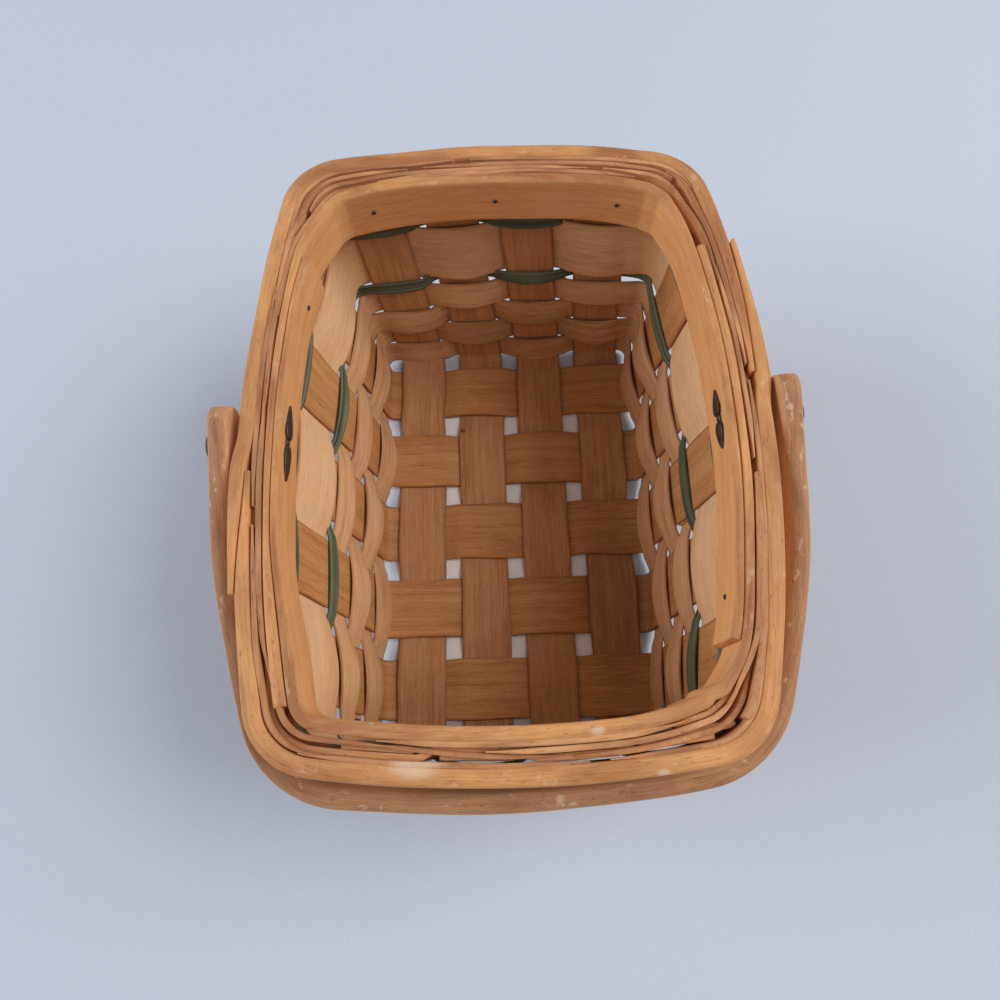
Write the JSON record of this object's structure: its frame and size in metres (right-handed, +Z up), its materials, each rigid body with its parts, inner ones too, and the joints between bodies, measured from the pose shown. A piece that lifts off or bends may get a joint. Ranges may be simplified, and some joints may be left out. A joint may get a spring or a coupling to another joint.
{
  "type": "gathering basket",
  "caption": "Small rectangular splint basket with woven walls, green accent rows, lapped wooden rim bands and a bent-wood swing handle pinned by split rivets.",
  "frame": {"origin": "under the middle of the whole object, on the plane that it stands on", "axes": "+Z up, +X to the right, about along the handle's pivot line, -Y towards the side that the handle is folded on"},
  "size_m": [0.2024, 0.2376, 0.1184],
  "materials": {
    "stake_wood": "satin stained splint",
    "weaver_wood": "satin stained splint",
    "pale_weaver_wood": "rough pale splint",
    "green_reed": "dyed reed",
    "rim_wood": "satin honey wood",
    "handle_wood": "satin bent wood",
    "dark_steel": "dark oxidised"
  },
  "bodies": {
    "basket": {"long_stake_1": "stake_wood", "long_stake_2": "stake_wood", "long_stake_3": "stake_wood", "long_stake_4": "stake_wood", "cross_stake_1": "stake_wood", "cross_stake_2": "stake_wood", "cross_stake_3": "stake_wood", "cross_stake_4": "stake_wood", "cross_stake_5": "stake_wood", "narrow_weaver_1": "weaver_wood", "narrow_weaver_2": "weaver_wood", "narrow_weaver_3": "weaver_wood", "narrow_weaver_4": "weaver_wood", "lower_green_weaver": "green_reed", "wide_weaver": "pale_weaver_wood", "upper_green_weaver": "green_reed", "rim_weaver": "weaver_wood", "outer_rim_far_half": "rim_wood", "inner_rim_far_half": "rim_wood", "outer_rim_near_half": "rim_wood", "inner_rim_near_half": "rim_wood", "rim_brad_1": "dark_steel", "rim_brad_2": "dark_steel", "rim_brad_3": "dark_steel", "rim_brad_4": "dark_steel", "rim_brad_5": "dark_steel", "rim_brad_6": "dark_steel", "rim_brad_7": "dark_steel", "rim_brad_8": "dark_steel", "right_rivet": "dark_steel", "left_rivet": "dark_steel"},
    "handle": {"handle": "handle_wood"}
  },
  "joints": [
    {"name": "handle_swing", "type": "hinge", "parent": "basket", "child": "handle", "pos_m": [-0.0011, 0.00397, 0.108], "axis": [-0.9996, -0.0297, 0], "range_deg": [0, 212]}
  ]
}
